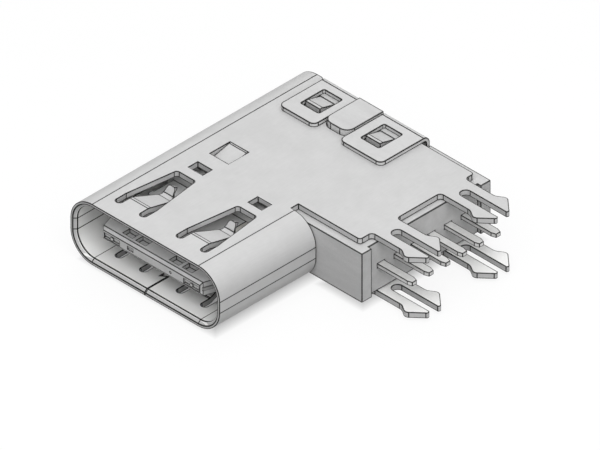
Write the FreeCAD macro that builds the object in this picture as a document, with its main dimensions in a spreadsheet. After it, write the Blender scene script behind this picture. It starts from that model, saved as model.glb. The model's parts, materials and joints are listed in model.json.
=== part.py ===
import FreeCAD, Part
import math
import os
import types

import Sketcher

# Side-entry Type-C receptacle that stands on its edge on a circuit board, in millimetres.
# X runs across the mouth towards the board, Y from the mouth into the body, Z over the
# thin way of the mouth. The origin is the centre of the mouth in the plane of its rim.

SIZES = {
    # mouth and folded shell
    "mouth_width": 8.34,
    "mouth_height": 2.56,
    "mouth_round": 1.00,
    "mouth_lead": 0.15,
    "sheet_gauge": 0.28,
    "tube_length": 13.46,
    "plate_step": 0.45,
    "relief_width": 0.43,
    "relief_inner": 2.97,
    "rear_round": 0.30,
    "plate_round": 0.15,
    "seam_gap": 0.04,
    "dovetail_first": 1.40,
    "dovetail_last": 3.01,
    "dovetail_neck": 0.70,
    "dovetail_depth": 0.28,
    "dovetail_flare": 0.20,
    # contact springs cut into both broad faces
    "spring_offset": 1.82,
    "window_front": 0.86,
    "window_back": 4.29,
    "window_half": 0.90,
    "window_back_half": 0.575,
    "window_taper_from": 1.60,
    "window_round": 0.15,
    "slot_width": 0.35,
    "spring_root": 1.47,
    "spring_fall": 18.5,
    "spring_ramp": 1.44,
    "spring_rise": 55.0,
    "spring_bend": 0.20,
    "spring_lip": 0.40,
    "spring_waist_half": 0.39,
    "spring_neck": 0.23,
    "spring_neck_half": 0.30,
    "spring_tip_half": 0.25,
    "spring_tip_round": 0.15,
    "vent_offset": 1.80,
    "vent_front": 4.79,
    "vent_length": 0.58,
    "vent_width": 0.83,
    # lance that holds the housing, and hooks that hold the rear cover
    "lance_centre": -1.73,
    "lance_width": 1.11,
    "lance_inset": 0.38,
    "lance_length": 1.19,
    "lance_fall": 13.0,
    "shear_gap": 0.03,
    "hook_rise": 15.0,
    "hook_height": 0.20,
    "hook_play": 0.25,
    "hook_margin": 0.26,
    "hook_width": 0.86,
    "hook_side": 0.04,
    "hook_bend": 0.10,
    # fork legs that snap into the board
    "plate_edge": 6.64,
    "seat_step": 0.52,
    "board_gauge": 1.60,
    "wing_margin": 1.46,
    "leg_inset": 1.28,
    "leg_pitch": 4.08,
    "leg_half": 0.75,
    "leg_root_round": 0.18,
    "fork_slot_half": 0.255,
    "fork_slot_start": 0.78,
    "barb_half": 0.935,
    "barb_flank": 0.42,
    "barb_sweep": 0.45,
    "barb_sweep_run": 0.24,
    "barb_sweep_rise": 0.07,
    "barb_crest": 0.32,
    "barb_round": 0.25,
    "barb_start_back": 0.06,
    "prong_taper": 0.54,
    "prong_tip_half": 0.45,
    "prong_round": 0.11,
    # rear cover
    "cover_gauge": 0.20,
    "cover_left": -2.57,
    "cover_right": 3.53,
    "cover_reach": 2.93,
    "cover_bend": 0.14,
    "cover_tab_round": 0.28,
    "cover_gap_left": -0.46,
    "cover_gap_right": 1.03,
    "cover_notch": 1.30,
    "catch_inset": 0.75,
    "catch_length": 1.40,
    "catch_width": 1.08,
    "catch_first": -1.45,
    "catch_pitch": 3.59,
    "catch_round": 0.08,
    # moulded housing
    "seat_clearance": 0.03,
    "housing_half": 1.25,
    "post_height": 0.20,
    "post_depth": 0.58,
    "cover_clearance": 0.02,
    "cover_side_gap": 0.08,
    "cover_post_gap": 0.04,
    "key_length": 2.18,
    "key_round": 0.44,
    "key_clearance": 0.03,
    # tongue, its root and the stiffening plate
    "tongue_front": 0.385,
    "tongue_half": 3.31,
    "tongue_gauge": 0.70,
    "tongue_nose": 0.195,
    "tongue_lead": 0.115,
    "tongue_nose_half": 2.88,
    "tongue_shoulder_half": 2.97,
    "tongue_full_from": 1.55,
    "latch_front": 2.25,
    "latch_back": 3.42,
    "latch_half": 2.92,
    "latch_round": 0.14,
    "tongue_step": 3.76,
    "tongue_rear_half": 3.21,
    "root_ahead": 0.87,
    "root_length": 1.88,
    "root_half": 3.60,
    "root_gauge": 1.60,
    "root_round": 0.25,
    "dimple_front": 0.67,
    "dimple_length": 0.42,
    "dimple_width": 0.56,
    "dimple_depth": 0.20,
    "dimple_inner": 1.00,
    "dimple_pitch": 0.78,
    "dimple_shift": 0.07,
    "recess_inner": 1.92,
    "recess_outer": 2.82,
    "recess_low": -0.15,
    "recess_high": 0.09,
    "recess_depth": 0.09,
    "peg_radius": 0.10,
    "gate_offset": 1.13,
    "gate_radius": 0.045,
    "plate_gauge": 0.15,
    "plate_proud": 0.03,
    "plate_ear_back": 0.05,
    "plate_set_back": 0.16,
    "plate_tuck": 0.68,
    "plate_stub_width": 0.33,
    "plate_stub_centre": -1.27,
    # stamped terminals
    "terminal_gauge": 0.20,
    "pad_front": 1.30,
    "pad_width": 0.30,
    "joggle_inset": 0.11,
    "joggle_angle": 30.0,
    "joggle_bend": 0.08,
    "joggle_length": 0.60,
    "outer_contact": 2.75,
    "power_contact": 1.25,
    "signal_contact": 0.75,
    "tail_ahead": 0.53,
    "tail_pitch": 1.00,
    "tail_width": 0.41,
    "tail_length": 1.81,
    "tail_taper": 0.24,
    "tail_tip_width": 0.26,
    "tail_bend": 0.12,
}


class Dim:
    """A size that carries both its number and the sheet formula that binds it."""

    def __init__(self, number, formula):
        self.number = number
        self.formula = formula

    def _join(self, other, sign, number):
        return Dim(number, "(%s %s %s)" % (self.formula, sign, dim(other).formula))

    def __add__(self, other):
        return self._join(other, "+", self.number + dim(other).number)

    def __sub__(self, other):
        return self._join(other, "-", self.number - dim(other).number)

    def __mul__(self, other):
        return self._join(other, "*", self.number * dim(other).number)

    def __truediv__(self, other):
        return self._join(other, "/", self.number / dim(other).number)

    def __neg__(self):
        return self * -1

    def __rsub__(self, other):
        return dim(other) - self

    __radd__ = __add__
    __rmul__ = __mul__


def dim(value):
    return value if isinstance(value, Dim) else Dim(float(value), "%r" % float(value))


def sine(angle):
    return Dim(math.sin(math.radians(angle.number)), "sin(%s)" % angle.formula)


def cosine(angle):
    return Dim(math.cos(math.radians(angle.number)), "cos(%s)" % angle.formula)


doc = FreeCAD.newDocument("receptacle")
sheet = doc.addObject("Spreadsheet::Sheet", "Sizes")
for row, (name, number) in enumerate(SIZES.items(), start=1):
    sheet.set("A%d" % row, name)
    sheet.set("B%d" % row, str(number))
    sheet.setAlias("B%d" % row, name)
doc.recompute()

s = types.SimpleNamespace(**{name: Dim(number, "Sizes." + name) for name, number in SIZES.items()})

# Shared places that more than one piece is built to.
inner_x = s.mouth_width / 2
inner_z = s.mouth_height / 2
outer_x = inner_x + s.sheet_gauge
outer_z = inner_z + s.sheet_gauge
flat_x = inner_x - s.mouth_round
board_seat = s.plate_edge + s.seat_step
fork_slot_root = s.plate_edge + s.fork_slot_start
housing_face = board_seat - s.post_height
tail_reach = board_seat + s.tail_length
plate_back = s.tube_length - s.plate_step
leg_last = plate_back - s.leg_inset
leg_first = leg_last - s.leg_pitch
wing_front = leg_first - s.wing_margin
short_side = wing_front - s.relief_width
housing_front = short_side + s.seat_clearance
root_front = housing_front - s.root_ahead
lance_front = housing_front + s.lance_inset
lance_back = lance_front + s.lance_length
cover_top = outer_z + s.cover_gauge
cover_inside = s.tube_length - s.cover_gauge
cover_front = s.tube_length - s.cover_reach
catch_front = cover_front + s.catch_inset
catch_back = catch_front + s.catch_length
hook_front = catch_front + s.hook_play
hook_back = catch_back - s.hook_margin
housing_back = cover_inside - s.cover_clearance
key_front = housing_back - s.key_length
pad_top = s.tongue_gauge / 2
key_left = s.cover_gap_left + s.key_clearance
key_right = s.cover_gap_right - s.key_clearance

# How far a cut overshoots the surface that it starts from, and how near counts as touching.
BEYOND = dim(1.0)
TOUCH = 1e-4


class Outline:
    """A closed outline in a sketch, its straight edges and arcs pinned to named sizes."""

    ORIGIN = (-1, 1)

    def __init__(self, sketch, x, y):
        self.sketch = sketch
        self.begin = (dim(x), dim(y))
        self.here = FreeCAD.Vector(self.begin[0].number, self.begin[1].number, 0)
        self.home = self.here
        self.first = None
        self.last = None

    def _pin(self, base, corner, x, y):
        for kind, size in (("DistanceX", dim(x)), ("DistanceY", dim(y))):
            index = self.sketch.addConstraint(
                Sketcher.Constraint(kind, base[0], base[1], corner[0], corner[1], size.number))
            self.sketch.setExpression("Constraints[%d]" % index, size.formula)

    def _add(self, geometry, near_end, far_end, target):
        edge = self.sketch.addGeometry(geometry)
        if self.first is None:
            self.first = (edge, near_end)
            self._pin(self.ORIGIN, self.first, *self.begin)
        else:
            self.sketch.addConstraint(
                Sketcher.Constraint("Coincident", self.last[0], self.last[1], edge, near_end))
        self.last = (edge, far_end)
        self.here = target
        return edge, near_end

    def _segment(self, target):
        return self._add(Part.LineSegment(self.here, target), 1, 2, target)

    def _bow(self, target, radius, turn):
        chord = target - self.here
        rise = math.sqrt(radius.number ** 2 - (chord.Length / 2) ** 2)
        side = FreeCAD.Vector(-chord.y, chord.x, 0).normalize() * (rise * turn)
        centre = self.here + chord * 0.5 + side
        ends = (self.here, target) if turn > 0 else (target, self.here)
        angles = [math.atan2(end.y - centre.y, end.x - centre.x) for end in ends]
        circle = Part.Circle(centre, FreeCAD.Vector(0, 0, 1), radius.number)
        near_end, far_end = (1, 2) if turn > 0 else (2, 1)
        edge = self._add(Part.ArcOfCircle(circle, *angles), near_end, far_end, target)
        index = self.sketch.addConstraint(Sketcher.Constraint("Radius", edge[0], radius.number))
        self.sketch.setExpression("Constraints[%d]" % index, radius.formula)
        return edge

    def line(self, x, y):
        x, y = dim(x), dim(y)
        self._segment(FreeCAD.Vector(x.number, y.number, 0))
        self._pin(self.ORIGIN, self.last, x, y)
        return self

    def arc(self, x, y, radius, turn):
        """An arc of under half a circle; turn is 1 for anticlockwise and -1 for clockwise."""
        x, y = dim(x), dim(y)
        self._bow(FreeCAD.Vector(x.number, y.number, 0), dim(radius), turn)
        self._pin(self.ORIGIN, self.last, x, y)
        return self

    def step(self, dx, dy):
        start = self._segment(self.here + FreeCAD.Vector(dx.number, dy.number, 0))
        self._pin(start, self.last, dx, dy)
        return self

    def sweep(self, dx, dy, radius, turn):
        start = self._bow(self.here + FreeCAD.Vector(dx.number, dy.number, 0), radius, turn)
        self._pin(start, self.last, dx, dy)
        return self

    def close(self):
        self._segment(self.home)
        self._weld()

    def close_arc(self, radius, turn):
        self._bow(self.home, dim(radius), turn)
        self._weld()

    def _weld(self):
        self.sketch.addConstraint(
            Sketcher.Constraint("Coincident", self.last[0], self.last[1], *self.first))


def ring(sketch, x, y, radius):
    """A full circle with its centre and radius pinned."""
    x, y, radius = dim(x), dim(y), dim(radius)
    centre = FreeCAD.Vector(x.number, y.number, 0)
    edge = sketch.addGeometry(Part.Circle(centre, FreeCAD.Vector(0, 0, 1), radius.number))
    for kind, where, size in (
            ("DistanceX", (-1, 1, edge, 3), x),
            ("DistanceY", (-1, 1, edge, 3), y),
            ("Radius", (edge,), radius)):
        index = sketch.addConstraint(Sketcher.Constraint(kind, *where, size.number))
        sketch.setExpression("Constraints[%d]" % index, size.formula)


def rectangle(sketch, x0, x1, y0, y1, radius=None):
    if radius is None:
        Outline(sketch, x0, y0).line(x1, y0).line(x1, y1).line(x0, y1).close()
        return
    radius = dim(radius)
    outline = Outline(sketch, x0 + radius, y0)
    outline.line(x1 - radius, y0).arc(x1, y0 + radius, radius, 1)
    outline.line(x1, y1 - radius).arc(x1 - radius, y1, radius, 1)
    outline.line(x0 + radius, y1).arc(x0, y1 - radius, radius, 1)
    outline.line(x0, y0 + radius).close_arc(radius, 1)


def bent_strip(sketch, x, y, gauge, moves, along=1, up=1):
    """Side view of a strip that lies under its start corner and runs along the first axis.

    A move is a straight length, or (angle, inner radius) for a bend: a positive angle bends
    the strip down. along and up mirror the whole view.
    """
    outline = Outline(sketch, x, y)
    heading = dim(0)
    way_back = []
    turn = along * up
    for move in moves:
        if isinstance(move, Dim):
            dx, dy = cosine(heading) * move * along, sine(heading) * move * up
            outline.step(dx, dy)
            way_back.append((-dx, -dy))
            continue
        angle, inner = move
        down = 1 if angle.number > 0 else -1
        swung = heading - angle
        run = (sine(heading) - sine(swung)) * (along * down)
        drop = (cosine(swung) - cosine(heading)) * (up * down)
        upper, lower = (inner + gauge, inner) if down > 0 else (inner, inner + gauge)
        outline.sweep(run * upper, drop * upper, upper, -down * turn)
        way_back.append((-(run * lower), -(drop * lower), lower, down * turn))
        heading = swung
    outline.step(sine(heading) * gauge * along, -(cosine(heading) * gauge * up))
    for leg in reversed(way_back):
        if len(leg) == 2:
            outline.step(*leg)
        else:
            outline.sweep(*leg)
    outline.close()


def new_body(name):
    return doc.addObject("PartDesign::Body", name)


def sketch_on(body, role, name, height=None):
    """A sketch on one of the body's origin planes, lifted along that plane's normal."""
    sketch = body.newObject("Sketcher::SketchObject", name)
    plane = next(item for item in body.Origin.OriginFeatures if item.Role == role)
    sketch.AttachmentSupport = [(plane, "")]
    sketch.MapMode = "FlatFace"
    if height is not None:
        lift = FreeCAD.Vector(0, 0, height.number)
        sketch.AttachmentOffset = FreeCAD.Placement(lift, FreeCAD.Rotation())
        sketch.setExpression(".AttachmentOffset.Base.z", height.formula)
    return sketch


def pad(body, sketch, length, symmetric=False, reverse=False):
    feature = body.newObject("PartDesign::Pad", sketch.Name + "_pad")
    feature.Profile = sketch
    feature.setExpression("Length", dim(length).formula)
    feature.SideType = "Symmetric" if symmetric else "One side"
    feature.Reversed = reverse
    return feature


def pocket(body, sketch, length=None, symmetric=False, reverse=False):
    """A cut below the sketch, above it when reversed, or both; through all without a length."""
    feature = body.newObject("PartDesign::Pocket", sketch.Name + "_cut")
    feature.Profile = sketch
    feature.SideType = "Symmetric" if symmetric else "One side"
    feature.Reversed = reverse
    if length is None:
        feature.Type = "ThroughAll"
    else:
        feature.setExpression("Length", dim(length).formula)
    return feature


def dress_edges(body, kind, name, wanted, radius):
    """A fillet or chamfer on the edges of the body that the test function picks."""
    doc.recompute()
    base = body.Tip
    picked = ["Edge%d" % (index + 1) for index, edge in enumerate(base.Shape.Edges) if wanted(edge)]
    feature = body.newObject(kind, name)
    feature.Base = (base, picked)
    feature.setExpression("Radius" if kind.endswith("Fillet") else "Size", dim(radius).formula)
    return feature


def upright_at(corners):
    """Picks the edges that stand along Z over one of the given plan corners."""
    spots = [(dim(x).number, dim(y).number) for x, y in corners]

    def wanted(edge):
        box = edge.BoundBox
        if box.ZLength < TOUCH:
            return False
        corners_seen = ((box.XMin, box.YMin), (box.XMax, box.YMax))
        return any(all(abs(a - x) < TOUCH and abs(b - y) < TOUCH for a, b in corners_seen) for x, y in spots)

    return wanted


def leg_outline(outline, centre):
    """One forked board lock, from its front root fillet round both prongs to its rear one."""
    root = s.plate_edge + s.leg_root_round
    crest = board_seat + s.board_gauge - s.barb_start_back
    flank = crest - s.barb_flank
    sweep_end = flank + s.barb_sweep_run
    sweep_half = s.leg_half + s.barb_sweep_rise
    crest_end = crest + s.barb_crest
    taper_end = crest_end + s.prong_taper
    slot = s.fork_slot_half
    outline.arc(root, centre - s.leg_half, s.leg_root_round, -1)
    outline.line(flank, centre - s.leg_half)
    outline.arc(sweep_end, centre - sweep_half, s.barb_sweep, -1)
    outline.line(crest, centre - s.barb_half)
    outline.arc(crest_end, centre - s.barb_half, s.barb_round, 1)
    outline.line(taper_end, centre - s.prong_tip_half)
    outline.arc(taper_end, centre - slot, s.prong_round, 1)
    outline.line(fork_slot_root, centre - slot)
    outline.arc(fork_slot_root - slot, centre, slot, -1)
    outline.arc(fork_slot_root, centre + slot, slot, -1)
    outline.line(taper_end, centre + slot)
    outline.arc(taper_end, centre + s.prong_tip_half, s.prong_round, 1)
    outline.line(crest_end, centre + s.barb_half)
    outline.arc(crest, centre + s.barb_half, s.barb_round, 1)
    outline.line(sweep_end, centre + sweep_half)
    outline.arc(flank, centre + s.leg_half, s.barb_sweep, -1)
    outline.line(root, centre + s.leg_half)
    outline.arc(s.plate_edge, centre + s.leg_half + s.leg_root_round, s.leg_root_round, -1)


def wing_outline(sketch):
    """Flat extension of a broad face with its two fork legs."""
    overlap = s.relief_inner - s.plate_round
    outline = Outline(sketch, overlap, wing_front)
    outline.line(s.plate_edge - s.plate_round, wing_front)
    outline.arc(s.plate_edge, wing_front + s.plate_round, s.plate_round, 1)
    outline.line(s.plate_edge, leg_first - s.leg_half - s.leg_root_round)
    leg_outline(outline, leg_first)
    outline.line(s.plate_edge, leg_last - s.leg_half - s.leg_root_round)
    leg_outline(outline, leg_last)
    outline.line(s.plate_edge, plate_back - s.plate_round)
    outline.arc(s.plate_edge - s.plate_round, plate_back, s.plate_round, 1)
    outline.line(overlap, plate_back)
    outline.close()


def window_outline(sketch, side):
    """Window round a contact spring: two round-ended slots that join behind the spring."""
    centre = s.spring_offset * side
    tip = s.slot_width / 2
    out = s.window_half
    slot_in = s.window_half - s.slot_width
    front = s.window_front
    back_round = s.window_back - s.window_round
    back_half = s.window_back_half
    outline = Outline(sketch, centre - slot_in * side, s.spring_root)
    outline.line(centre - slot_in * side, front + tip)
    outline.arc(centre - (slot_in + tip) * side, front, tip, -side)
    outline.arc(centre - out * side, front + tip, tip, -side)
    outline.line(centre - out * side, s.window_taper_from)
    outline.line(centre - back_half * side, back_round)
    outline.arc(centre - (back_half - s.window_round) * side, s.window_back, s.window_round, -side)
    outline.line(centre + (back_half - s.window_round) * side, s.window_back)
    outline.arc(centre + back_half * side, back_round, s.window_round, -side)
    outline.line(centre + out * side, s.window_taper_from)
    outline.line(centre + out * side, front + tip)
    outline.arc(centre + (slot_in + tip) * side, front, tip, -side)
    outline.arc(centre + slot_in * side, front + tip, tip, -side)
    outline.line(centre + slot_in * side, s.spring_root)
    outline.close()


def spring_trim(sketch, side):
    """What the spring loses on both flanks, so that it narrows to a rounded, turned-up lip."""
    centre = s.spring_offset * side
    root_half = s.window_half - s.slot_width
    waist = (s.spring_root + sine(s.spring_fall) * (s.spring_bend + s.sheet_gauge)
             + cosine(s.spring_fall) * s.spring_ramp)
    neck = waist + s.spring_neck
    end = (waist + (sine(s.spring_fall) + sine(s.spring_rise)) * s.spring_bend
           + cosine(s.spring_rise) * s.spring_lip)
    past = end + s.sheet_gauge
    for flank in (-1, 1):
        outline = Outline(sketch, centre + root_half * flank, s.spring_root + s.spring_bend)
        outline.line(centre + root_half * flank, past)
        outline.line(centre + (s.spring_tip_half - s.spring_tip_round) * flank, past)
        outline.line(centre + (s.spring_tip_half - s.spring_tip_round) * flank, end)
        outline.arc(centre + s.spring_tip_half * flank, end - s.spring_tip_round, s.spring_tip_round, -flank)
        outline.line(centre + s.spring_neck_half * flank, neck)
        outline.line(centre + s.spring_waist_half * flank, waist)
        outline.close()


def make_shell():
    body = new_body("shell")

    section = sketch_on(body, "XZ_Plane", "shell_section")
    rectangle(section, -outer_x, outer_x, -outer_z, outer_z, s.mouth_round + s.sheet_gauge)
    rectangle(section, -inner_x, inner_x, -inner_z, inner_z, s.mouth_round)
    pad(body, section, s.tube_length, reverse=True)

    def mouth_edge(edge):
        box = edge.BoundBox
        reach = max(abs(box.XMin), abs(box.XMax))
        height = max(abs(box.ZMin), abs(box.ZMax))
        return box.YMax < TOUCH and reach < inner_x.number + TOUCH and height < inner_z.number + TOUCH

    dress_edges(body, "PartDesign::Chamfer", "mouth_lead_in", mouth_edge, s.mouth_lead)

    # Right side wall and the cut-back for the rear cover are open behind the short side.
    cut_left = s.cover_left - s.cover_side_gap
    open_side = sketch_on(body, "XY_Plane", "open_side")
    outline = Outline(open_side, s.relief_inner, short_side)
    outline.line(outer_x + BEYOND, short_side)
    outline.line(outer_x + BEYOND, s.tube_length + BEYOND)
    outline.line(cut_left - s.rear_round, s.tube_length + BEYOND)
    outline.line(cut_left - s.rear_round, s.tube_length)
    outline.arc(cut_left, s.tube_length - s.rear_round, s.rear_round, -1)
    outline.line(cut_left, plate_back)
    outline.line(s.relief_inner, plate_back)
    outline.close()
    pocket(body, open_side, symmetric=True)

    for name, level in (("upper_wing", inner_z), ("lower_wing", -outer_z)):
        wing = sketch_on(body, "XY_Plane", name, level)
        wing_outline(wing)
        pad(body, wing, s.sheet_gauge)

    root_half = s.window_half - s.slot_width
    for side, hand in ((-1, "left"), (1, "right")):
        window = sketch_on(body, "XY_Plane", hand + "_window")
        window_outline(window, side)
        pocket(body, window, symmetric=True)
        for up, level in ((1, "upper"), (-1, "lower")):
            spring = sketch_on(body, "YZ_Plane", "%s_%s_spring" % (hand, level), s.spring_offset * side)
            moves = (s.spring_bend, (s.spring_fall, s.spring_bend), s.spring_ramp,
                     (-(s.spring_fall + s.spring_rise), s.spring_bend), s.spring_lip)
            bent_strip(spring, s.spring_root - s.spring_bend, outer_z * up, s.sheet_gauge, moves, up=up)
            pad(body, spring, root_half * 2, symmetric=True)
        trim = sketch_on(body, "XY_Plane", hand + "_spring_trim")
        spring_trim(trim, side)
        pocket(body, trim, symmetric=True)

    vents = sketch_on(body, "XY_Plane", "vents")
    for side in (-1, 1):
        centre = s.vent_offset * side
        rectangle(vents, centre - s.vent_width / 2, centre + s.vent_width / 2,
                  s.vent_front, s.vent_front + s.vent_length)
    pocket(body, vents, symmetric=True)

    # A lance in each broad face dips behind the front of the housing.
    half = s.lance_width / 2
    lance_hole = sketch_on(body, "XY_Plane", "lance_hole")
    rectangle(lance_hole, s.lance_centre - half, s.lance_centre + half, lance_front, lance_back)
    pocket(body, lance_hole, symmetric=True)
    reach = s.lance_length - s.hook_bend
    for up, level in ((1, "upper"), (-1, "lower")):
        lance = sketch_on(body, "YZ_Plane", level + "_lance", s.lance_centre)
        moves = (s.hook_bend, (s.lance_fall, s.hook_bend), reach)
        bent_strip(lance, lance_back + s.hook_bend, outer_z * up, s.sheet_gauge, moves, along=-1, up=up)
        pad(body, lance, s.lance_width - s.shear_gap * 2, symmetric=True)

    # Hooks lifted out of the broad faces stand in the windows of the rear cover.
    bend_rise = (1 - cosine(s.hook_rise)) * (s.hook_bend * 2 + s.sheet_gauge)
    ramp = (s.hook_height - bend_rise) / sine(s.hook_rise)
    bends = sine(s.hook_rise) * (s.hook_bend * 2 + s.sheet_gauge)
    crown = hook_back - hook_front - bends - cosine(s.hook_rise) * ramp
    for number in range(2):
        centre = s.catch_first + s.catch_pitch * number
        left = centre - s.catch_width / 2
        hole = sketch_on(body, "XY_Plane", "hook_hole_%d" % (number + 1))
        rectangle(hole, left, left + s.catch_width, catch_front, hook_back)
        pocket(body, hole, symmetric=True)
        for up, level in ((1, "upper"), (-1, "lower")):
            middle = left + s.hook_side + s.hook_width / 2
            hook = sketch_on(body, "YZ_Plane", "%s_hook_%d" % (level, number + 1), middle)
            moves = (s.hook_bend, (-s.hook_rise, s.hook_bend), ramp, (s.hook_rise, s.hook_bend), crown)
            bent_strip(hook, hook_back + s.hook_bend, outer_z * up, s.sheet_gauge, moves, along=-1, up=up)
            pad(body, hook, s.hook_width, symmetric=True)

    # Cut-out, open to the rear, for the key of the housing.
    key_hole = sketch_on(body, "XY_Plane", "key_hole")
    left = key_left - s.key_clearance
    right = key_right + s.key_clearance
    front = key_front - s.key_clearance
    radius = s.key_round + s.key_clearance
    outline = Outline(key_hole, left + radius, front)
    outline.line(right - radius, front)
    outline.arc(right, front + radius, radius, 1)
    outline.line(right, plate_back + BEYOND)
    outline.line(left, plate_back + BEYOND)
    outline.line(left, front + radius)
    outline.close_arc(radius, 1)
    pocket(body, key_hole, reverse=True)

    make_seam(body)
    return body


def make_seam(body):
    """The butt seam along the lower face, with dovetails that lock its two edges."""
    seam = sketch_on(body, "XY_Plane", "seam")
    half = s.seam_gap / 2
    outline = Outline(seam, -half, -BEYOND)
    outline.line(half, -BEYOND)
    starts = [s.dovetail_first, plate_back - s.dovetail_last]
    for neck in starts:
        outline.line(half, neck + half)
        outline.line(half - s.dovetail_depth, neck - s.dovetail_flare + half)
        outline.line(half - s.dovetail_depth, neck + s.dovetail_neck + s.dovetail_flare - half)
        outline.line(half, neck + s.dovetail_neck - half)
    outline.line(half, plate_back + BEYOND)
    outline.line(-half, plate_back + BEYOND)
    for neck in reversed(starts):
        outline.line(-half, neck + s.dovetail_neck + half)
        outline.line(-half - s.dovetail_depth, neck + s.dovetail_neck + s.dovetail_flare + half)
        outline.line(-half - s.dovetail_depth, neck - s.dovetail_flare - half)
        outline.line(-half, neck - half)
    outline.close()
    pocket(body, seam)


def make_rear_cover():
    body = new_body("rear_cover")
    width = s.cover_right - s.cover_left
    turn = (dim(90), s.cover_bend)
    outer_bend = s.cover_bend + s.cover_gauge
    tab = s.tube_length - outer_bend - cover_front
    wall = (cover_top - outer_bend) * 2
    side = sketch_on(body, "YZ_Plane", "cover_side", s.cover_left + width / 2)
    bent_strip(side, cover_front, cover_top, s.cover_gauge, (tab, turn, wall, turn, tab))
    pad(body, side, width, symmetric=True)

    notch = sketch_on(body, "XZ_Plane", "cover_notch_view")
    for up in (-1, 1):
        low, high = sorted((s.cover_notch * up, (cover_top + BEYOND) * up), key=lambda z: z.number)
        rectangle(notch, s.cover_gap_left, s.cover_gap_right, low, high)
    pocket(body, notch, symmetric=True)

    catches = sketch_on(body, "XY_Plane", "catch_windows")
    for number in range(2):
        centre = s.catch_first + s.catch_pitch * number
        rectangle(catches, centre - s.catch_width / 2, centre + s.catch_width / 2,
                  catch_front, catch_back, s.catch_round)
    pocket(body, catches, symmetric=True)

    sides = (s.cover_left, s.cover_gap_left, s.cover_gap_right, s.cover_right)
    corners = upright_at([(x, cover_front) for x in sides])
    dress_edges(body, "PartDesign::Fillet", "tab_corners", corners, s.cover_tab_round)
    return body


def make_housing_blank():
    """The moulded block before the insert and the terminals take their room in it."""
    body = new_body("housing_blank")
    gap = s.seat_clearance
    barrel = sketch_on(body, "XZ_Plane", "barrel_section", -housing_front)
    rectangle(barrel, -inner_x + gap, flat_x, -s.housing_half, s.housing_half, s.mouth_round - gap)
    pad(body, barrel, housing_back - housing_front, reverse=True)

    # Side block that fills the space between the wings, with a post at each board corner.
    block_left = flat_x - s.mouth_round
    cover_side = s.cover_right + s.cover_post_gap
    block = sketch_on(body, "XY_Plane", "block_plan")
    outline = Outline(block, block_left, housing_front)
    outline.line(board_seat, housing_front)
    outline.line(board_seat, housing_front + s.post_depth)
    outline.line(housing_face, housing_front + s.post_depth)
    outline.line(housing_face, s.tube_length - s.post_depth)
    outline.line(board_seat, s.tube_length - s.post_depth)
    outline.line(board_seat, s.tube_length)
    outline.line(cover_side, s.tube_length)
    outline.line(cover_side, housing_back)
    outline.line(block_left, housing_back)
    outline.close()
    pad(body, block, s.housing_half * 2, symmetric=True)

    # Key that fills the shell's rear cut-out and stands one sheet gauge over it.
    key = sketch_on(body, "XY_Plane", "key_plan")
    outline = Outline(key, key_left + s.key_round, key_front)
    outline.line(key_right - s.key_round, key_front)
    outline.arc(key_right, key_front + s.key_round, s.key_round, 1)
    outline.line(key_right, housing_back)
    outline.line(key_left, housing_back)
    outline.line(key_left, key_front + s.key_round)
    outline.close_arc(s.key_round, 1)
    pad(body, key, outer_z + s.sheet_gauge)

    # Sloped seat under each lance.
    seat_width = s.lance_width + s.seat_clearance * 2
    lance_drop = sine(s.lance_fall) * s.lance_length + s.seat_clearance * 2
    seat = sketch_on(body, "YZ_Plane", "lance_seat", s.lance_centre)
    for up in (-1, 1):
        outline = Outline(seat, lance_front - s.seat_clearance, (inner_z + BEYOND) * up)
        outline.line(lance_front - s.seat_clearance, (inner_z - lance_drop) * up)
        outline.line(lance_back + s.hook_bend * 2, inner_z * up)
        outline.close()
    pocket(body, seat, seat_width, symmetric=True)
    return body


def tongue_outline(sketch, inset, front, back, nose_half, rear_half):
    """Plan of the tongue, with the notch on each side that the plug's latches drop into."""
    full = s.tongue_half - inset
    notch = s.latch_half - inset
    shoulder = s.tongue_front + s.tongue_lead
    radius = s.latch_round
    outline = Outline(sketch, -nose_half, front)
    outline.line(nose_half, front)
    outline.line(s.tongue_shoulder_half - inset, shoulder)
    outline.line(full, s.tongue_full_from)
    outline.line(full, s.latch_front)
    outline.line(notch + radius, s.latch_front)
    outline.arc(notch, s.latch_front + radius, radius, -1)
    outline.line(notch, s.latch_back - radius)
    outline.arc(notch + radius, s.latch_back, radius, -1)
    outline.line(full - radius, s.latch_back)
    outline.arc(full, s.latch_back + radius, radius, 1)
    outline.line(full, s.tongue_step)
    outline.line(rear_half, s.tongue_step)
    outline.line(rear_half, back)
    outline.line(-rear_half, back)
    outline.line(-rear_half, s.tongue_step)
    outline.line(-full, s.tongue_step)
    outline.line(-full, s.latch_back + radius)
    outline.arc(-full + radius, s.latch_back, radius, 1)
    outline.line(-notch - radius, s.latch_back)
    outline.arc(-notch, s.latch_back - radius, radius, -1)
    outline.line(-notch, s.latch_front + radius)
    outline.arc(-notch - radius, s.latch_front, radius, -1)
    outline.line(-full, s.latch_front)
    outline.line(-full, s.tongue_full_from)
    outline.line(inset - s.tongue_shoulder_half, shoulder)
    outline.close()


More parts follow.
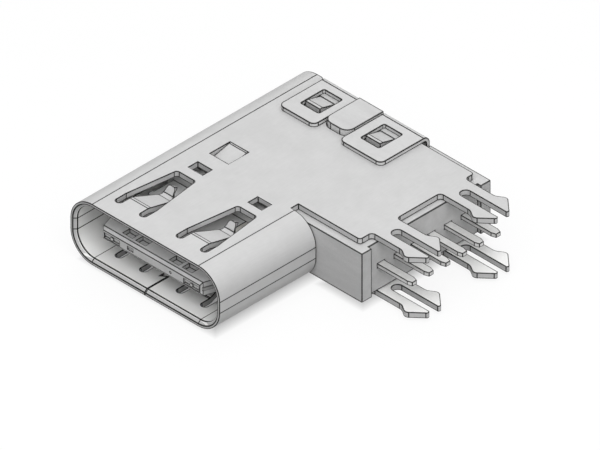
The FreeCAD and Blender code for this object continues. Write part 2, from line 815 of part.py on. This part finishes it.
def make_tongue_blank():
    """The tongue and its root before the terminals and the stiffening plate are cut out."""
    body = new_body("tongue_blank")
    plan = sketch_on(body, "XY_Plane", "tongue_plan")
    tongue_outline(plan, dim(0), s.tongue_front, root_front + s.root_round,
                   s.tongue_nose_half, s.tongue_rear_half)
    pad(body, plan, s.tongue_gauge, symmetric=True)

    lead = sketch_on(body, "YZ_Plane", "nose_lead_in")
    for up in (-1, 1):
        outline = Outline(lead, s.tongue_front, s.tongue_nose * up)
        outline.line(s.tongue_front, (pad_top + BEYOND) * up)
        outline.line(s.tongue_front + s.tongue_lead, (pad_top + BEYOND) * up)
        outline.line(s.tongue_front + s.tongue_lead, pad_top * up)
        outline.close()
    pocket(body, lead, symmetric=True)

    root = sketch_on(body, "XZ_Plane", "root_section", -root_front)
    rectangle(root, -s.root_half, s.root_half, -s.root_gauge / 2, s.root_gauge / 2, s.root_round)
    pad(body, root, s.root_length, reverse=True)

    # Core-pin dimples behind the nose on both faces.
    for up, level in ((1, "upper"), (-1, "lower")):
        dimples = sketch_on(body, "XY_Plane", level + "_dimples", (pad_top - s.dimple_depth) * up)
        for side in (-1, 1):
            for number in range(2):
                centre = (s.dimple_inner + s.dimple_pitch * number) * side + s.dimple_shift
                rectangle(dimples, centre - s.dimple_width / 2, centre + s.dimple_width / 2,
                          s.dimple_front, s.dimple_front + s.dimple_length)
        pocket(body, dimples, s.dimple_depth * 2, reverse=up > 0)

    # Windows in the nose where the tool gripped the plate, each with a locating peg, and the gate.
    nose = sketch_on(body, "XZ_Plane", "nose_windows", -s.tongue_front)
    middle = (s.recess_low + s.recess_high) / 2
    for side in (-1, 1):
        left, right = sorted((s.recess_inner * side, s.recess_outer * side), key=lambda x: x.number)
        rectangle(nose, left, right, s.recess_low, s.recess_high)
        ring(nose, (s.recess_inner + s.recess_outer) / 2 * side, middle, s.peg_radius)
    stub_half = s.plate_stub_width / 2
    rectangle(nose, s.plate_stub_centre - stub_half, s.plate_stub_centre + stub_half,
              -s.plate_gauge / 2, s.plate_gauge / 2)
    ring(nose, s.gate_offset, 0, s.gate_radius)
    pocket(body, nose, s.recess_depth)
    return body


def make_mid_plate():
    body = new_body("mid_plate")
    recessed = s.tongue_front + s.plate_set_back
    plan = sketch_on(body, "XY_Plane", "plate_plan")
    tongue_outline(plan, -s.plate_proud, s.tongue_front + s.plate_ear_back, root_front + s.plate_tuck,
                   s.recess_outer, s.tongue_rear_half - s.plate_proud)
    pad(body, plan, s.plate_gauge, symmetric=True)

    # The front edge stands back, apart from an ear at each corner and a cut-off stub.
    front = sketch_on(body, "XY_Plane", "plate_front")
    stub_left = s.plate_stub_centre - s.plate_stub_width / 2
    stub_right = s.plate_stub_centre + s.plate_stub_width / 2
    for left, right in ((-s.recess_inner, stub_left), (stub_right, s.recess_inner)):
        rectangle(front, left, right, s.tongue_front - BEYOND, recessed)
    pocket(body, front, symmetric=True)
    return body


# Terminal name, contact place across the mouth, face of the tongue; first tail first.
TERMINALS = (
    ("terminal_ground_upper", s.outer_contact, 1),
    ("terminal_power_upper", s.power_contact, 1),
    ("terminal_config_lower", s.signal_contact, -1),
    ("terminal_config_upper", -s.signal_contact, 1),
    ("terminal_power_lower", -s.power_contact, -1),
    ("terminal_ground_lower", -s.outer_contact, -1),
)


def make_terminal(name, across, up, tail):
    """A blanked strip: contact pad in the tongue, joggle to mid height, turn, board tail."""
    body = new_body(name)
    angle, bend, gauge = s.joggle_angle, s.joggle_bend, s.terminal_gauge
    drop = pad_top - gauge / 2
    both_bends = bend * 2 + gauge
    slope = (drop - (1 - cosine(angle)) * both_bends) / sine(angle)
    side = sketch_on(body, "YZ_Plane", name + "_side", across)
    joggle_run = sine(angle) * both_bends + cosine(angle) * slope
    joggle_front = housing_front + s.joggle_inset
    joggle_end = joggle_front + s.joggle_length
    last = s.joggle_length + s.tail_bend - joggle_run
    moves = (joggle_front - s.pad_front, (angle, bend), slope, (-angle, bend), last)
    bent_strip(side, s.pad_front, pad_top * up, gauge, moves, up=up)
    pad(body, side, s.pad_width, symmetric=True)

    left, right = across - s.pad_width / 2, across + s.pad_width / 2
    near, far = tail - s.tail_width / 2, tail + s.tail_width / 2
    taper = tail_reach - s.tail_taper
    outer = s.tail_bend * 2
    plan = sketch_on(body, "XY_Plane", name + "_plan")
    outline = Outline(plan, left, joggle_end)
    outline.line(right, joggle_end)
    outline.line(right, near - s.tail_bend)
    outline.arc(right + s.tail_bend, near, s.tail_bend, -1)
    outline.line(taper, near)
    outline.line(tail_reach, tail - s.tail_tip_width / 2)
    outline.line(tail_reach, tail + s.tail_tip_width / 2)
    outline.line(taper, far)
    outline.line(left + outer, far)
    outline.arc(left, far - outer, outer, 1)
    outline.close()
    pad(body, plan, gauge, symmetric=True)
    return body


def cut_out(name, base, tools):
    """The base with the room of the tools taken out of it."""
    joined = doc.addObject("Part::MultiFuse", name + "_room")
    joined.Shapes = tools
    result = doc.addObject("Part::Cut", name)
    result.Base = base
    result.Tool = joined
    return result


shell = make_shell()
rear_cover = make_rear_cover()
mid_plate = make_mid_plate()
terminals = [make_terminal(name, across, up, leg_first - s.tail_ahead + s.tail_pitch * number)
             for number, (name, across, up) in enumerate(TERMINALS)]
tongue_blank = make_tongue_blank()
tongue = cut_out("tongue", tongue_blank, terminals + [mid_plate])
housing = cut_out("housing", make_housing_blank(), terminals + [tongue_blank])

doc.recompute()

faults = [item.Name for item in doc.Objects
          if any(state in ("Invalid", "Error") for state in item.State)]
if faults:
    raise RuntimeError("failed objects: " + ", ".join(faults))

nodes = [shell, rear_cover, housing, tongue, mid_plate] + terminals
for node in nodes:
    node.Label = node.Name
    if node.Shape.isNull() or not node.Shape.isValid():
        raise RuntimeError("bad solid: " + node.Label)
    if len(node.Shape.Solids) != 1:
        raise RuntimeError("not one solid: " + node.Label)

os.makedirs("parts", exist_ok=True)
for node in nodes:
    node.Shape.exportStep("parts/%s.step" % node.Label)
    box = node.Shape.BoundBox
    print("%-24s %7.3f mm3  X %.2f..%.2f  Y %.2f..%.2f  Z %.2f..%.2f" % (
        node.Label, node.Shape.Volume, box.XMin, box.XMax, box.YMin, box.YMax, box.ZMin, box.ZMax))
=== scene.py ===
import json
import math

import bmesh
import bpy
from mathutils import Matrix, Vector


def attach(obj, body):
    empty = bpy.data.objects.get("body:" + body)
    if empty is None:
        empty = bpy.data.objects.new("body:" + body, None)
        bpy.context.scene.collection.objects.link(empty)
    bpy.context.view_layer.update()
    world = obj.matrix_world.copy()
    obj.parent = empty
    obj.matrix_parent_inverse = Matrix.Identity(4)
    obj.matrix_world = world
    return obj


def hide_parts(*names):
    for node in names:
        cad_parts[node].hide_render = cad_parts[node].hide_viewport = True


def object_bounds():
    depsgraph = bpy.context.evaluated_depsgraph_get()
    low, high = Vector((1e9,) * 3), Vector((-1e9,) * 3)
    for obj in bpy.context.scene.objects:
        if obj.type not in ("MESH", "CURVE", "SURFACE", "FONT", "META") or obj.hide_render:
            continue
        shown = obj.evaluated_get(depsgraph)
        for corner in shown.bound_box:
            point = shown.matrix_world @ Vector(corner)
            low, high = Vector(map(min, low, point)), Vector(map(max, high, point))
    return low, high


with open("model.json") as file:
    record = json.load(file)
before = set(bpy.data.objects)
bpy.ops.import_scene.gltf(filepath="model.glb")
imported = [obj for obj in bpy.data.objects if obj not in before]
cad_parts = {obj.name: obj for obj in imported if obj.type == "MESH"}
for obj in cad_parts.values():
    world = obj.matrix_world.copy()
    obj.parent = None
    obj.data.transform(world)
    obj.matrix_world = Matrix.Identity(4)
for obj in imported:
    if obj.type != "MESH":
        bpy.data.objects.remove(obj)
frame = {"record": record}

CAD_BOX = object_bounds()

# Everything is in metres in the frame of the model: X towards the board, Y into the body,
# Z over the thin way of the mouth, from the centre of the mouth in the plane of its rim.
MM = 0.001

# The picture is a parallel isometric view, 600 pixels wide, in which 1 mm square to the
# line of sight is 23.70 pixels. The mouth's centre lies left of and below its middle.
PICTURE_WIDTH = 600
PIXELS_PER_MM = 23.70
VIEW_AZIMUTH = math.radians(45.0)
VIEW_ELEVATION = math.radians(35.264)
MOUTH_LEFT_OF_MIDDLE = 6.54 * MM
MOUTH_BELOW_MIDDLE = 1.70 * MM
CAMERA_DISTANCE = 100 * MM
NEAREST_SEEN = 1 * MM
FARTHEST_SEEN = 2.0

# The floor glows where the camera sees it, as the white ground of the picture does. Within
# the part's footprint it glows less, a painted shadow beneath the part, and that fades out over a short
# way.
FLOOR_WIDTH = 2.0
FLOOR_GLOW = 0.87
PAINTED_SHADOW_GLOW = 0.3
PAINTED_SHADOW_FADE = 1.0 * MM

# Middle and half size of what stands over the floor, where the painted shadow lies: the tube, and the
# block beside it.
FOOTPRINT = (
    ((0.0, 6.73 * MM), (4.2 * MM, 6.73 * MM)),
    ((5.7 * MM, 9.6 * MM), (1.5 * MM, 3.8 * MM)),
)

# How strong the sky is at the horizon and overhead, and the height from which it is even, as
# the sine of the angle over the horizon.
SKY_AT_HORIZON = 0.10
SKY_OVERHEAD = 0.50
SKY_EVEN_FROM = 0.6

# Each lamp's name, its place and width in millimetres, and its power in watts.
LAMPS = (
    ("back_lamp", (-80, 85, 95), 190, 0.090),
    ("key_lamp", (46, -48, 112), 140, 0.142),
    ("fill_lamp", (105, -30, 74), 180, 0.092),
)
LAMPS_AIM = Vector((2.5, 6.5, 0.0)) * MM

# The tube's inner face lies one corner radius outside this core, which runs along its length.
# The wings carry its two flats on, half the mouth's height from the middle.
TUBE_CORE = Vector((3.17 * MM, 1.0, 0.28 * MM))
TUBE_ROUND = 1.0 * MM
WING_LEVEL = 1.28 * MM
INNER_FACE_BAND = 0.04 * MM

# A face looks in where its normal times the way out is below the first, and out above the second.
LOOKS_IN = {"From Min": -0.6, "From Max": -0.2}

# How far from the mouth the terminals' contacts end, and over what length tin takes over.
CONTACT_END = 5.3 * MM
TIN_FADE = 0.2 * MM

# Noise seldom leaves this span, which each pattern spreads over a range of its own.
NOISE_SPAN = {"From Min": 0.3, "From Max": 0.7}

# A mix of colours takes its share at input 0 and the colours at 6 and 7, and gives output 2.
COLOURS = {"data_type": "RGBA"}

# Points nearer than SAME_POINT are one, and faces that turn less than SAME_FLAT are one flat.
SAME_POINT = 0.0003 * MM
SAME_FLAT = math.radians(0.6)

# Faces that turn by more than SHARP_TURN meet in an edge. Where they turn by less, but by more
# than SMALLEST_TURN, a bend starts if one is a flat: larger than SMALLEST_FLAT, and more than
# FLAT_TO_STEP times as large as the other, which is a step of the bend.
SHARP_TURN = math.radians(28)
SMALLEST_TURN = math.radians(1.5)
SMALLEST_FLAT = 0.05 * MM * MM
FLAT_TO_STEP = 3

# Steps across a broken edge, how square it stays from 0.5 for round to 1, and the width of the
# painted shade line where a bend starts, against a broken edge.
EDGE_STEPS = 4
EDGE_SQUARENESS = 0.94
BEND_SHADE_LINE = 0.7


def linear(code):
    """An sRGB hex code as linear red, green, blue and alpha."""
    channels = [int(code[i:i + 2], 16) / 255 for i in (0, 2, 4)]
    return tuple(c / 12.92 if c <= 0.04045 else ((c + 0.055) / 1.055) ** 2.4 for c in channels) + (1.0,)


def add(tree, kind, settings=None, links=None, output=0):
    """Adds a node with its settings, feeds its inputs from constants or sockets, gives an output."""
    node = tree.nodes.new(kind)
    for name, value in (settings or {}).items():
        setattr(node, name, value)
    for name, value in (links or {}).items():
        if isinstance(value, bpy.types.NodeSocket):
            tree.links.new(value, node.inputs[name])
        else:
            node.inputs[name].default_value = value
    return node.outputs[output] if len(node.outputs) else None


def new_material(name):
    """A material with its empty tree, and the object's own coordinates."""
    material = bpy.data.materials.new(name)
    material.use_nodes = True
    material.node_tree.nodes.clear()
    return material, material.node_tree, add(material.node_tree, "ShaderNodeTexCoord", output="Object")


def drawn_out(way, times):
    """How far a grain is drawn out along X, Y and Z when it runs one way."""
    return [times if axis == way else 1.0 for axis in "XYZ"]


def grain(tree, place, spacing, stretch=(1.0, 1.0, 1.0), detail=2.0):
    """A pattern whose features are spacing wide, drawn out along each axis by stretch."""
    scaled = add(tree, "ShaderNodeMapping", links={
        "Vector": place, "Scale": [1 / (spacing * times) for times in stretch]})
    return add(tree, "ShaderNodeTexNoise", {"noise_dimensions": "3D"}, {
        "Vector": scaled, "Scale": 1.0, "Detail": detail, "Roughness": 0.6}, "Fac")


def inner_face(tree, away, reach):
    """1 on a face that lies out at the reach and looks back in, 0 elsewhere."""
    outward = add(tree, "ShaderNodeVectorMath", {"operation": "NORMALIZE"}, {0: away})
    normal = add(tree, "ShaderNodeNewGeometry", output="Normal")
    facing = add(tree, "ShaderNodeVectorMath", {"operation": "DOT_PRODUCT"}, {
        0: outward, 1: normal}, "Value")
    inward = add(tree, "ShaderNodeMapRange", links={
        "Value": facing, **LOOKS_IN, "To Min": 1.0, "To Max": 0.0})
    distance = add(tree, "ShaderNodeVectorMath", {"operation": "LENGTH"}, {0: away}, "Value")
    within = add(tree, "ShaderNodeMath", {"operation": "COMPARE"}, {
        0: distance, 1: reach, 2: INNER_FACE_BAND})
    return add(tree, "ShaderNodeMath", {"operation": "MULTIPLY"}, {0: within, 1: inward})


def inside_shell(tree, place):
    """1 on the faces that look into the tube or between the wings, 0 on the rest of the sheet."""
    core = add(tree, "ShaderNodeVectorMath", {"operation": "MINIMUM"}, {0: place, 1: TUBE_CORE})
    core = add(tree, "ShaderNodeVectorMath", {"operation": "MAXIMUM"}, {0: core, 1: -TUBE_CORE})
    away = add(tree, "ShaderNodeVectorMath", {"operation": "SUBTRACT"}, {0: place, 1: core})
    height = add(tree, "ShaderNodeVectorMath", {"operation": "MULTIPLY"}, {0: place, 1: (0.0, 0.0, 1.0)})
    return add(tree, "ShaderNodeMath", {"operation": "MAXIMUM"}, {
        0: inner_face(tree, away, TUBE_ROUND), 1: inner_face(tree, height, WING_LEVEL)})


def rolled_sheet(name, colour, dull, roll_axis, rough=(0.58, 0.70), inner=None):
    """Stainless strip, stamped and folded, satin where it is plated with nickel.

    The strip keeps fine lines from the rolls, 0.03 mm apart and drawn as 0.06 mm so that
    they show, a soft mottle 1.4 mm wide where the plate lies thicker or duller, and spots
    0.35 mm wide from handling. Inside the tube and between the wings the plate is painted
    lighter: painted light that lifts the shade falling there.
    """
    material, tree, place = new_material(name)
    lines = grain(tree, place, 0.06 * MM, drawn_out(roll_axis, 12.0))
    mottle = grain(tree, place, 1.4 * MM, detail=3.0)
    handling = grain(tree, place, 0.35 * MM, detail=4.0)
    clouds = add(tree, "ShaderNodeMapRange", links={"Value": mottle, **NOISE_SPAN})
    streaks = add(tree, "ShaderNodeMapRange", links={"Value": lines, **NOISE_SPAN, "To Max": 0.35})
    tone = add(tree, "ShaderNodeMix", COLOURS, {0: clouds, 6: linear(colour), 7: linear(dull)}, 2)
    tone = add(tree, "ShaderNodeMix", COLOURS, {0: streaks, 6: tone, 7: linear(dull)}, 2)
    # Faces that look into the tube or between the wings take the lighter inner colour, painted light that
    # lifts the shade there.
    if inner:
        inside = inside_shell(tree, place)
        tone = add(tree, "ShaderNodeMix", COLOURS, {0: inside, 6: tone, 7: linear(inner)}, 2)
    satin = add(tree, "ShaderNodeMapRange", links={
        "Value": lines, **NOISE_SPAN, "To Min": rough[0], "To Max": rough[1]})
    rubbed = add(tree, "ShaderNodeMapRange", links={
        "Value": handling, **NOISE_SPAN, "To Min": -0.03, "To Max": 0.05})
    roughness = add(tree, "ShaderNodeMath", {"operation": "ADD"}, {0: satin, 1: rubbed})
    bump = add(tree, "ShaderNodeBump", links={"Height": lines, "Strength": 0.25, "Distance": 0.002 * MM})
    shader = add(tree, "ShaderNodeBsdfPrincipled", links={
        "Base Color": tone, "Metallic": 0.3, "Roughness": roughness, "Normal": bump})
    add(tree, "ShaderNodeOutputMaterial", links={"Surface": shader})
    return material


def moulded_polymer(name, colour, dark, flow_axis):
    """Glass-filled liquid-crystal polymer, moulded in a spark-eroded tool.

    The tool leaves a fine matt texture of 0.03 mm, drawn as 0.08 mm so that it shows, and
    the melt leaves faint flow lines 0.5 mm wide along the way it ran.
    """
    material, tree, place = new_material(name)
    pits = grain(tree, place, 0.08 * MM, detail=3.0)
    flow = grain(tree, place, 0.5 * MM, drawn_out(flow_axis, 6.0), detail=3.0)
    lines = add(tree, "ShaderNodeMapRange", links={"Value": flow, **NOISE_SPAN})
    specks = add(tree, "ShaderNodeMapRange", links={"Value": pits, **NOISE_SPAN, "To Max": 0.5})
    tone = add(tree, "ShaderNodeMix", COLOURS, {0: lines, 6: linear(colour), 7: linear(dark)}, 2)
    tone = add(tree, "ShaderNodeMix", COLOURS, {0: specks, 6: tone, 7: linear(dark)}, 2)
    matt = add(tree, "ShaderNodeMapRange", links={
        "Value": pits, **NOISE_SPAN, "To Min": 0.48, "To Max": 0.66})
    bump = add(tree, "ShaderNodeBump", links={"Height": pits, "Strength": 0.5, "Distance": 0.006 * MM})
    shader = add(tree, "ShaderNodeBsdfPrincipled", links={
        "Base Color": tone, "Roughness": matt, "IOR": 1.60, "Normal": bump})
    add(tree, "ShaderNodeOutputMaterial", links={"Surface": shader})
    return material


def plated_terminal(name, tin, tin_dull, contact):
    """Stamped copper alloy: matt tin on the tails, palladium-nickel where a plug's contacts rub.

    The plating changes over inside the moulding. The strip's rolling lines run along X,
    0.02 mm apart and drawn as 0.05 mm so that they show, and the tin has a faint bloom
    0.25 mm wide.
    """
    material, tree, place = new_material(name)
    lines = grain(tree, place, 0.05 * MM, drawn_out("X", 8.0))
    bloom = grain(tree, place, 0.25 * MM, detail=4.0)
    clouds = add(tree, "ShaderNodeMapRange", links={"Value": bloom, **NOISE_SPAN})
    tinned = add(tree, "ShaderNodeMix", COLOURS, {0: clouds, 6: linear(tin), 7: linear(tin_dull)}, 2)
    depth = add(tree, "ShaderNodeSeparateXYZ", links={"Vector": place}, output="Y")
    in_tin = add(tree, "ShaderNodeMapRange", links={
        "Value": depth, "From Min": CONTACT_END - TIN_FADE, "From Max": CONTACT_END})
    tone = add(tree, "ShaderNodeMix", COLOURS, {0: in_tin, 6: linear(contact), 7: tinned}, 2)
    satin = add(tree, "ShaderNodeMapRange", links={
        "Value": lines, **NOISE_SPAN, "To Min": 0.42, "To Max": 0.56})
    bump = add(tree, "ShaderNodeBump", links={"Height": lines, "Strength": 0.2, "Distance": 0.002 * MM})
    shader = add(tree, "ShaderNodeBsdfPrincipled", links={
        "Base Color": tone, "Metallic": 0.35, "Roughness": satin, "Normal": bump})
    add(tree, "ShaderNodeOutputMaterial", links={"Surface": shader})
    return material


def is_bend_start(line):
    """True where a flat runs into a bend, whose steps are all far smaller than the flat."""
    small, large = sorted(face.calc_area() for face in line.link_faces)
    turns = SMALLEST_TURN < line.calc_face_angle(0) < SHARP_TURN
    return turns and large > max(SMALLEST_FLAT, FLAT_TO_STEP * small)


def finished(node, material, edge_shade, slot, edge):
    """Stands in for a node with the same form, its edges broken as the real process leaves them.

    The broken edges take the second, dark material, a painted shade that draws a fine darker
    line round each form, and so does a painted shade line where a flat runs into a bend.
    """
    source = bpy.data.objects[node]
    piece = bpy.data.objects.new(node + "_finished", bpy.data.meshes.new(node + "_finished"))
    bpy.context.scene.collection.objects.link(piece)
    shape = bmesh.new()
    shape.from_mesh(source.data)
    bmesh.ops.remove_doubles(shape, verts=shape.verts, dist=SAME_POINT)
    bmesh.ops.dissolve_limit(shape, angle_limit=SAME_FLAT, use_dissolve_boundaries=False,
                             verts=shape.verts, edges=shape.edges, delimit=set())
    for face in shape.faces:
        face.smooth = True
    share = shape.edges.layers.float.new("bevel_weight_edge")
    for line in shape.edges:
        if len(line.link_faces) != 2:
            continue
        line.smooth = line.calc_face_angle(0) < SHARP_TURN
        if not line.smooth:
            line[share] = 1.0
        elif is_bend_start(line):
            line[share] = BEND_SHADE_LINE
    shape.to_mesh(piece.data)
    shape.free()
    piece.data.materials.clear()
    piece.data.materials.append(material)
    piece.data.materials.append(edge_shade)
    bevel = piece.modifiers.new("broken_edges", "BEVEL")
    bevel.width = edge
    bevel.segments = EDGE_STEPS
    bevel.profile = EDGE_SQUARENESS
    bevel.limit_method = "WEIGHT"
    bevel.use_clamp_overlap = False
    bevel.harden_normals = True
    # The bevel's faces take the second material, a painted shade line round each form.
    bevel.material = 1
    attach(piece, "root")
    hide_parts(node)


def painted_shadow_under_part(tree, place):
    """Rises to 1 at the edge of the part's footprint, so that the floor glows less beneath it: a painted
    shadow.
    """
    outside = []
    for middle, half in FOOTPRINT:
        reach = []
        for axis, centre, size in zip("XY", middle, half):
            across = add(tree, "ShaderNodeSeparateXYZ", links={"Vector": place}, output=axis)
            offset = add(tree, "ShaderNodeMath", {"operation": "SUBTRACT"}, {0: across, 1: centre})
            apart = add(tree, "ShaderNodeMath", {"operation": "ABSOLUTE"}, {0: offset})
            reach.append(add(tree, "ShaderNodeMath", {"operation": "SUBTRACT"}, {0: apart, 1: size}))
        outside.append(add(tree, "ShaderNodeMath", {"operation": "MAXIMUM"}, dict(enumerate(reach))))
    nearest = add(tree, "ShaderNodeMath", {"operation": "MINIMUM"}, dict(enumerate(outside)))
    return add(tree, "ShaderNodeMapRange", links={
        "Value": nearest, "From Min": -PAINTED_SHADOW_FADE, "From Max": 0.0, "To Min": PAINTED_SHADOW_GLOW})


def lay_floor():
    """A matt grey floor under the part that the camera sees as white, with a painted shadow beneath the
    part.
    """
    low = CAD_BOX[0].z
    bpy.ops.mesh.primitive_plane_add(size=FLOOR_WIDTH, location=(0, 0, low))
    floor = bpy.context.object
    floor.name = "floor"
    material, tree, place = new_material("pale_floor")
    seen = add(tree, "ShaderNodeLightPath", output="Is Camera Ray")
    for kind in ("Is Glossy Ray", "Is Transmission Ray"):
        ray = add(tree, "ShaderNodeLightPath", output=kind)
        seen = add(tree, "ShaderNodeMath", {"operation": "MAXIMUM"}, {0: seen, 1: ray})
    lift = add(tree, "ShaderNodeMath", {"operation": "MULTIPLY"}, {0: seen, 1: FLOOR_GLOW})
    # Within the footprint the glow is dimmed: a painted shadow under the part.
    glow = add(tree, "ShaderNodeMath", {"operation": "MULTIPLY"}, {0: lift, 1: painted_shadow_under_part(tree, place)})
    white = add(tree, "ShaderNodeEmission", links={"Color": linear("FFFFFF"), "Strength": glow})
    matt = add(tree, "ShaderNodeBsdfDiffuse", links={"Color": linear("595959")})
    both = add(tree, "ShaderNodeAddShader", links={0: matt, 1: white})
    add(tree, "ShaderNodeOutputMaterial", links={"Surface": both})
    floor.data.materials.append(material)


def light_sky():
    """An even white sky that is brighter overhead."""
    world = bpy.data.worlds.new("studio_sky")
    bpy.context.scene.world = world
    world.use_nodes = True
    sky = world.node_tree
    sky.nodes.clear()
    way = add(sky, "ShaderNodeTexCoord", output="Generated")
    up = add(sky, "ShaderNodeSeparateXYZ", links={"Vector": way}, output="Z")
    level = add(sky, "ShaderNodeMapRange", links={
        "Value": up, "From Max": SKY_EVEN_FROM, "To Min": SKY_AT_HORIZON, "To Max": SKY_OVERHEAD})
    background = add(sky, "ShaderNodeBackground", links={"Color": linear("FFFFFF"), "Strength": level})
    add(sky, "ShaderNodeOutputWorld", links={"Surface": background})


def place_lamps():
    """Three soft round lamps that look at the middle of the part."""
    for name, place, width, power in LAMPS:
        lamp = bpy.data.lights.new(name, "AREA")
        lamp.shape = "DISK"
        lamp.size = width * MM
        lamp.energy = power
        stand = bpy.data.objects.new(name, lamp)
        stand.location = Vector(place) * MM
        stand.rotation_euler = (LAMPS_AIM - stand.location).to_track_quat("-Z", "Y").to_euler()
        bpy.context.scene.collection.objects.link(stand)


def place_camera():
    """The picture's own parallel view."""
    back = Vector((math.sin(VIEW_AZIMUTH) * math.cos(VIEW_ELEVATION),
                   -math.cos(VIEW_AZIMUTH) * math.cos(VIEW_ELEVATION), math.sin(VIEW_ELEVATION)))
    right = Vector((math.cos(VIEW_AZIMUTH), math.sin(VIEW_AZIMUTH), 0))
    up = back.cross(right)
    data = bpy.data.cameras.new("camera")
    data.type = "ORTHO"
    data.ortho_scale = PICTURE_WIDTH / PIXELS_PER_MM * MM
    data.clip_start = NEAREST_SEEN
    data.clip_end = FARTHEST_SEEN
    eye = bpy.data.objects.new("camera", data)
    eye.location = right * MOUTH_LEFT_OF_MIDDLE + up * MOUTH_BELOW_MIDDLE + back * CAMERA_DISTANCE
    eye.rotation_mode = "QUATERNION"
    eye.rotation_quaternion = (-back).to_track_quat("-Z", "Y")
    bpy.context.scene.collection.objects.link(eye)
    bpy.context.scene.camera = eye


# The picture shows metal and plastic in one soft grey, so the metals are only partly metallic.
# The shell's inner colour E9E9E8 is painted light: it lifts the shade inside the tube and between the
# wings.
shell_sheet = rolled_sheet("satin_nickel_on_stainless", "BFBFBF", "B9B9B9", "Y", inner="E9E9E8")
cover_sheet = rolled_sheet("satin_nickel_on_cover_strip", "C1C1C1", "BBBBBB", "X")
housing_polymer = moulded_polymer("grey_liquid_crystal_polymer", "BFBFBF", "AFAFAF", "X")
tongue_polymer = moulded_polymer("grey_polymer_insert", "D1D1D1", "C3C3C3", "Y")
terminal_plate = plated_terminal(
    "tin_and_palladium_nickel_on_copper_alloy", "D6D6D5", "CACAC9", "CFCDC8")

# The mid plate is the bare strip, which is smoother and shines a little.
plate_sheet = rolled_sheet("bare_stainless_plate", "C1C1C1", "B3B3B3", "Y", rough=(0.25, 0.36))

# On broken edges the sheet and the polymer take a near-black colour: painted shade that draws a line round
# each form.
painted_edge_shade_sheet = rolled_sheet("painted_shade_sheet_edge", "282726", "20201F", "Y")
painted_edge_shade_polymer = moulded_polymer("painted_shade_polymer_edge", "2E2E2D", "262625", "X")

# Each node, its material and the painted edge shade, its slot, and how wide its broken edges are.
pieces = [
    ("shell", shell_sheet, painted_edge_shade_sheet, "shell_steel", 0.038 * MM),
    ("rear_cover", cover_sheet, painted_edge_shade_sheet, "cover_steel", 0.045 * MM),
    ("housing", housing_polymer, painted_edge_shade_polymer, "housing_plastic", 0.045 * MM),
    ("tongue", tongue_polymer, painted_edge_shade_polymer, "tongue_plastic", 0.028 * MM),
    ("mid_plate", plate_sheet, painted_edge_shade_sheet, "plate_steel", 0.012 * MM),
]
for row in frame["record"]["subparts"]:
    if row["node"].startswith("terminal_"):
        pieces.append((row["node"], terminal_plate, painted_edge_shade_sheet, "terminal_metal", 0.034 * MM))
for piece in pieces:
    finished(*piece)

lay_floor()
light_sky()
place_lamps()
place_camera()
bpy.context.scene.view_settings.view_transform = "Standard"
